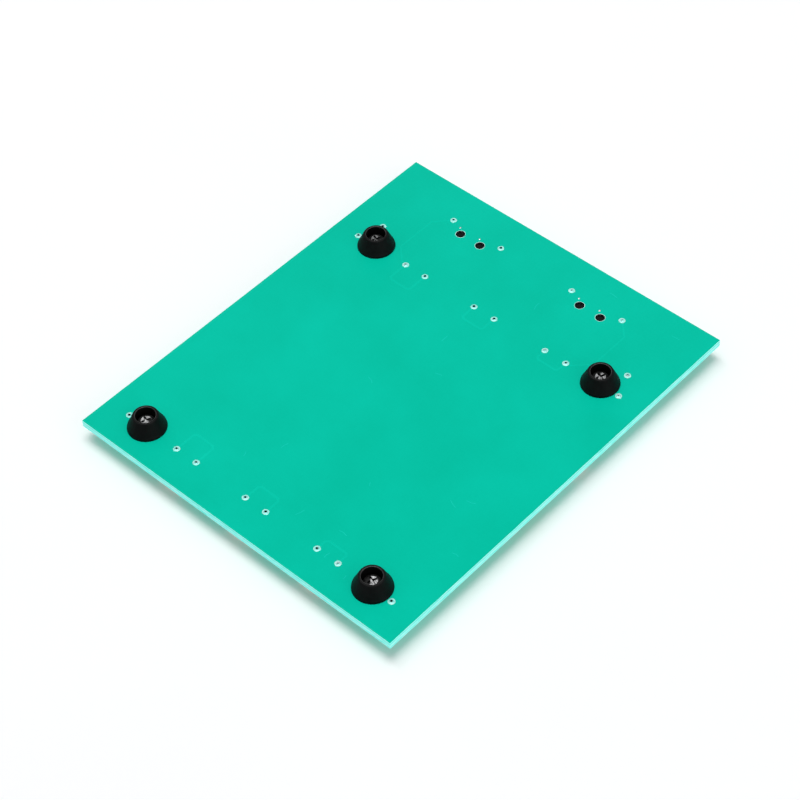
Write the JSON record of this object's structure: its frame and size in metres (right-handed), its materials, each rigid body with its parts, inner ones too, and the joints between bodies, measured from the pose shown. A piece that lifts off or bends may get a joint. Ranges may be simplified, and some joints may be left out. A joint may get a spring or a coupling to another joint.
{
  "type": "microcontroller dev board",
  "caption": "Low rectangular circuit board on rubber feet, with a microcontroller, motor drivers, push buttons, a slide switch and edge sockets for robot projects.",
  "frame": {"origin": "under the board's centre, on the plane that the feet stand on", "axes": "+Z out of the component face, +Y towards the rear edge with the USB socket, +X to the right seen from above"},
  "size_m": [0.0776, 0.093, 0.0081],
  "materials": {
    "solder_mask": "satin teal solder mask",
    "rubber": "matte moulded rubber",
    "steel": "plated steel",
    "brass": "turned brass",
    "gold_plate": "thin gold plate",
    "tinned_copper": "bright tin",
    "diode_epoxy": "moulded epoxy with a silver band",
    "chip_epoxy": "fine matte epoxy",
    "black_plastic": "moulded black plastic",
    "cream_nylon": "moulded nylon",
    "light_lens": "clear lens on a white base",
    "ferrite": "ground ferrite",
    "copper_wire": "enamelled copper wire",
    "capacitor_resin": "moulded resin",
    "resistor_ceramic": "glazed ceramic with tin ends",
    "capacitor_ceramic": "fired ceramic with tin ends"
  },
  "bodies": {
    "board": {"circuit_board": "solder_mask", "foot_front_left": "rubber", "foot_front_right": "rubber", "foot_rear_left": "rubber", "foot_rear_right": "rubber", "foot_screws": "steel", "foot_inserts": "brass", "solder_joints": "tinned_copper", "diode_front_1": "diode_epoxy", "diode_front_2": "diode_epoxy", "diode_front_3": "diode_epoxy", "diode_front_4": "diode_epoxy", "diode_rear_1": "diode_epoxy", "diode_rear_2": "diode_epoxy", "diode_rear_3": "diode_epoxy", "diode_rear_4": "diode_epoxy", "battery_posts": "tinned_copper", "left_button_base": "black_plastic", "left_button_terminals": "tinned_copper", "left_button_dome": "steel", "left_button_cover": "steel", "right_button_base": "black_plastic", "right_button_terminals": "tinned_copper", "right_button_dome": "steel", "right_button_cover": "steel", "microcontroller_body": "chip_epoxy", "microcontroller_leads": "tinned_copper", "left_driver_body": "chip_epoxy", "left_driver_leads": "tinned_copper", "right_driver_body": "chip_epoxy", "right_driver_leads": "tinned_copper", "usb_shell": "steel", "usb_tongue": "black_plastic", "usb_contacts": "gold_plate", "regulator_body": "chip_epoxy", "regulator_leads": "tinned_copper", "crystal": "steel", "inductor_core": "ferrite", "inductor_winding": "copper_wire", "supply_capacitors": "capacitor_resin", "capacitor_terminals": "tinned_copper", "servo_sockets": "cream_nylon", "motor_sockets": "cream_nylon", "socket_contacts": "tinned_copper", "status_lights": "light_lens", "chip_resistors": "resistor_ceramic", "chip_capacitors": "capacitor_ceramic", "reset_button_base": "black_plastic", "reset_button_terminals": "tinned_copper", "reset_button_dome": "steel", "reset_button_cover": "steel", "power_switch_base": "black_plastic", "power_switch_terminals": "tinned_copper", "power_switch_frame": "steel"},
    "left_button": {"left_button_cap": "black_plastic"},
    "right_button": {"right_button_cap": "black_plastic"},
    "reset_button": {"reset_button_cap": "cream_nylon"},
    "power_slider": {"power_switch_slider": "black_plastic", "power_switch_wiper": "gold_plate"}
  },
  "joints": [
    {"name": "left_button_press", "type": "slide", "parent": "board", "child": "left_button", "axis": [0, 0, 1], "range_m": [-0.0003, 0], "stiffness_N_per_m": 5000, "deforming": ["left_button_dome"]},
    {"name": "right_button_press", "type": "slide", "parent": "board", "child": "right_button", "axis": [0, 0, 1], "range_m": [-0.0003, 0], "stiffness_N_per_m": 5000, "deforming": ["right_button_dome"]},
    {"name": "reset_button_press", "type": "slide", "parent": "board", "child": "reset_button", "axis": [0, 0, 1], "range_m": [-0.0002, 0], "stiffness_N_per_m": 5000, "deforming": ["reset_button_dome"]},
    {"name": "power_switch_slide", "type": "slide", "parent": "board", "child": "power_slider", "axis": [0, 1, 0], "range_m": [0, 0.002]}
  ]
}
